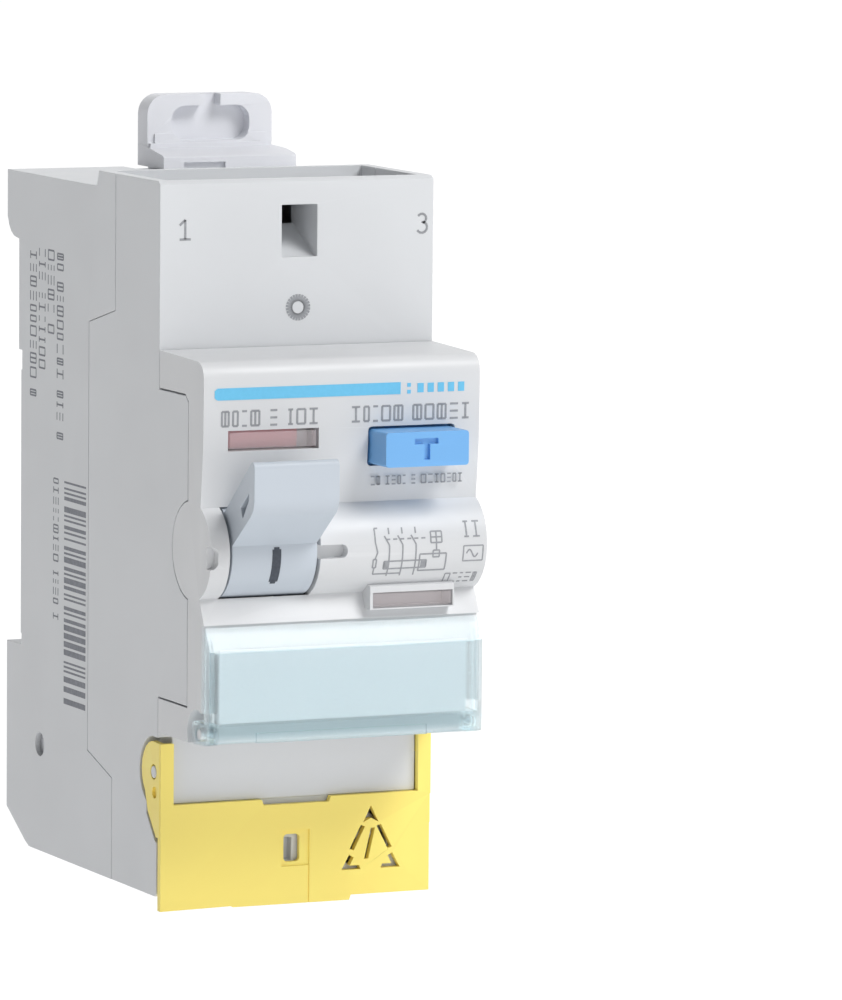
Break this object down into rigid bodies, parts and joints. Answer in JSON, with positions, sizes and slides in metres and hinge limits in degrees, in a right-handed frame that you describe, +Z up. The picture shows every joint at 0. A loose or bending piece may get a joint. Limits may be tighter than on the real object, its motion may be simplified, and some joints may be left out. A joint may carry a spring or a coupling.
{
  "type": "residual current device",
  "caption": "Rail-mounted residual current switch with a toggle lever, test button, indicator windows, clear label cover and hinged terminal flap.",
  "frame": {"origin": "centre of the face that seats on the rail's front", "axes": "+Y into the rail, -Y the front with the toggle, +Z up, +X to the right seen from the front"},
  "size_m": [0.035, 0.0707, 0.0931],
  "materials": {
    "shell": "fine satin texture",
    "cover": "satin",
    "clip": "satin",
    "toggle": "satin",
    "button_blue": "satin",
    "flap_yellow": "satin",
    "clear": "clear, polished",
    "card": "printed card",
    "flag_red": "matte",
    "dark_plastic": "moulded",
    "inner_plastic": "moulded",
    "copper": "bright copper",
    "brass": "bright",
    "steel": "zinc plated",
    "core_case": "lacquered",
    "winding": "enamelled wire",
    "wire": "insulating sleeve",
    "resistor": "ceramic"
  },
  "bodies": {
    "housing": {"rear_base": "shell", "main_housing": "shell", "front_cover": "cover", "housing_rivet": "steel", "position_window": "clear", "fault_window": "clear", "toggle_axle": "steel", "mechanism_frame": "inner_plastic", "relay_body": "dark_plastic", "trip_bracket": "steel", "test_resistor": "resistor", "test_leaf": "brass", "toroid_core": "core_case", "secondary_winding": "winding", "upper_contact_bar_left": "copper", "upper_contact_bar_right": "copper", "upper_clamp_spring_left": "steel", "upper_clamp_spring_right": "steel", "lower_contact_left": "copper", "lower_contact_right": "copper", "through_conductor_left": "wire", "through_conductor_right": "wire", "lower_terminal_plate_left": "copper", "lower_terminal_plate_right": "copper"},
    "toggle": {"toggle": "toggle"},
    "contact_carrier": {"contact_carrier": "dark_plastic", "drive_link": "steel", "moving_contact_left": "copper", "moving_contact_right": "copper", "contact_spring_left": "steel", "contact_spring_right": "steel"},
    "position_flag": {"position_flag": "flag_red"},
    "test_button": {"test_button": "button_blue", "test_spring": "steel"},
    "trip_lever": {"trip_lever": "inner_plastic"},
    "relay_plunger": {"relay_plunger": "steel"},
    "fault_flag": {"fault_flag": "inner_plastic"},
    "label_cover": {"label_cover": "clear", "label_card": "card"},
    "terminal_flap": {"terminal_flap": "flap_yellow"},
    "din_clip": {"din_clip": "clip"},
    "lower_screw_left": {"lower_screw_left": "steel"},
    "lower_cage_left": {"lower_cage_left": "steel"},
    "lower_screw_right": {"lower_screw_right": "steel"},
    "lower_cage_right": {"lower_cage_right": "steel"}
  },
  "joints": [
    {"name": "toggle_pivot", "type": "hinge", "parent": "housing", "child": "toggle", "pos_m": [0, -0.0541, 0], "axis": [1, 0, 0], "range_deg": [0, 78]},
    {"name": "contact_carrier_slide", "type": "slide", "parent": "housing", "child": "contact_carrier", "axis": [0, -1, 0], "range_m": [0, 0.0045]},
    {"name": "position_flag_pivot", "type": "hinge", "parent": "housing", "child": "position_flag", "pos_m": [0, -0.0492, 0.013], "axis": [1, 0, 0], "range_deg": [0, 39.5]},
    {"name": "test_button_slide", "type": "slide", "parent": "housing", "child": "test_button", "axis": [0, 1, 0], "range_m": [0, 0.002], "stiffness_N_per_m": 250, "springref_m": -0.002},
    {"name": "trip_lever_pivot", "type": "hinge", "parent": "housing", "child": "trip_lever", "pos_m": [0.0083, -0.0465, -0.0095], "axis": [-1, 0, 0], "range_deg": [0, 19]},
    {"name": "relay_plunger_slide", "type": "slide", "parent": "housing", "child": "relay_plunger", "axis": [0, -1, 0], "range_m": [0, 0.001]},
    {"name": "fault_flag_slide", "type": "slide", "parent": "housing", "child": "fault_flag", "axis": [0, 0, 1], "range_m": [0, 0.00275]},
    {"name": "label_cover_hinge", "type": "hinge", "parent": "housing", "child": "label_cover", "pos_m": [0, -0.0559, -0.0212], "axis": [1, 0, 0], "range_deg": [0, 100]},
    {"name": "terminal_flap_hinge", "type": "hinge", "parent": "housing", "child": "terminal_flap", "pos_m": [0, -0.04274, -0.02743], "axis": [1, 0, 0], "range_deg": [-90, 0]},
    {"name": "din_clip_slide", "type": "slide", "parent": "housing", "child": "din_clip", "axis": [0, 0, 1], "range_m": [0, 0.004], "stiffness_N_per_m": 300, "springref_m": -0.003},
    {"name": "lower_screw_left_turn", "type": "hinge", "parent": "housing", "child": "lower_screw_left", "pos_m": [-0.00875, -0.0432, -0.0365], "axis": [0, 1, 0], "range_deg": [0, 1800]},
    {"name": "lower_cage_left_slide", "type": "slide", "parent": "housing", "child": "lower_cage_left", "axis": [0, -1, 0], "range_m": [0, 0.004]},
    {"name": "lower_screw_right_turn", "type": "hinge", "parent": "housing", "child": "lower_screw_right", "pos_m": [0.00875, -0.0432, -0.0365], "axis": [0, 1, 0], "range_deg": [0, 1800]},
    {"name": "lower_cage_right_slide", "type": "slide", "parent": "housing", "child": "lower_cage_right", "axis": [0, -1, 0], "range_m": [0, 0.004]}
  ],
  "couplings": [
    {"joint": "toggle_pivot", "follows": "contact_carrier_slide", "rad_per_m": 302.52},
    {"joint": "position_flag_pivot", "follows": "contact_carrier_slide", "rad_per_m": 151.26},
    {"joint": "trip_lever_pivot", "follows": "relay_plunger_slide", "rad_per_m": 331.61},
    {"joint": "fault_flag_slide", "follows": "relay_plunger_slide", "ratio": 2.7},
    {"joint": "lower_screw_left_turn", "follows": "lower_cage_left_slide", "rad_per_m": 7854},
    {"joint": "lower_screw_right_turn", "follows": "lower_cage_right_slide", "rad_per_m": 7854}
  ]
}
